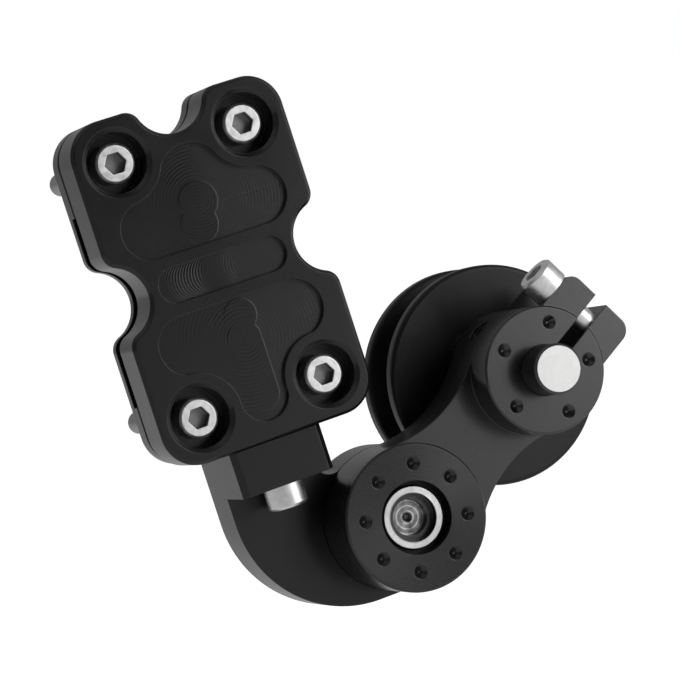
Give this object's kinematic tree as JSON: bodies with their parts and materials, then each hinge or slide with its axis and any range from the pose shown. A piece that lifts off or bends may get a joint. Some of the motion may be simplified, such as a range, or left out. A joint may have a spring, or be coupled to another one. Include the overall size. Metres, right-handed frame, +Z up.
{
  "type": "chain tensioner roller",
  "caption": "Clamp-on chain tensioner: two notched clamp plates, an elbow bracket and a spring-loaded swing arm carrying a flanged guide roller on ball bearings.",
  "frame": {"origin": "centre of the four clamp screws on the back face of the rear clamp plate", "axes": "+Z up along the clamp plates' long side, +X towards the roller, +Y along the clamp screws, away from the side that shows the screw heads"},
  "size_m": [0.1258, 0.0755, 0.1356],
  "materials": {
    "black_plate": "black anodised, milled",
    "grey_black_arm": "black anodised, fine milled",
    "zinc_screw": "bright zinc plate",
    "dark_screw": "black oxide",
    "bright_steel": "turned, bright",
    "spring_steel": "oil tempered",
    "dark_bush": "black bearing plastic",
    "black_roller": "matt black, turned",
    "bearing_steel": "ground bearing steel",
    "bearing_shield": "pressed sheet"
  },
  "bodies": {
    "clamp": {"front_clamp_plate": "black_plate", "clamp_screws": "zinc_screw", "bracket_elbow": "black_plate", "bracket_screw": "zinc_screw", "pivot_pin": "bright_steel", "thrust_washer": "dark_bush", "torsion_spring": "spring_steel"},
    "jaw": {"rear_clamp_plate": "black_plate"},
    "arm": {"swing_arm": "grey_black_arm", "pivot_bush": "dark_bush", "pivot_cap": "grey_black_arm", "stop_pin": "dark_screw", "arm_clamp_screw": "zinc_screw", "axle_grub_screw": "dark_screw"},
    "axle": {"axle": "bright_steel", "axle_spacer": "bright_steel", "bearing_sleeve": "bright_steel", "axle_washer": "bright_steel", "axle_retaining_ring": "dark_screw", "front_bearing_inner_ring": "bearing_steel", "rear_bearing_inner_ring": "bearing_steel"},
    "roller": {"roller": "black_roller", "front_bearing_outer_ring": "bearing_steel", "front_bearing_balls": "bearing_steel", "front_bearing_front_shield": "bearing_shield", "front_bearing_back_shield": "bearing_shield", "rear_bearing_outer_ring": "bearing_steel", "rear_bearing_balls": "bearing_steel", "rear_bearing_front_shield": "bearing_shield", "rear_bearing_back_shield": "bearing_shield"}
  },
  "joints": [
    {"name": "jaw_slide", "type": "slide", "parent": "clamp", "child": "jaw", "axis": [0, 1, 0], "range_m": [0, 0.03]},
    {"name": "arm_pivot", "type": "hinge", "parent": "clamp", "child": "arm", "pos_m": [0.0271, 0, -0.0735], "axis": [0, 1, 0], "range_deg": [0, 40], "stiffness_Nm_per_rad": 2, "springref_deg": -28.65, "deforming": ["torsion_spring"]},
    {"name": "axle_slide", "type": "slide", "parent": "arm", "child": "axle", "axis": [0, 1, 0], "range_m": [0, 0.008]},
    {"name": "roller_spin", "type": "hinge", "parent": "axle", "child": "roller", "pos_m": [0.06902, 0.01604, -0.0491], "axis": [0, 1, 0], "continuous": true}
  ]
}
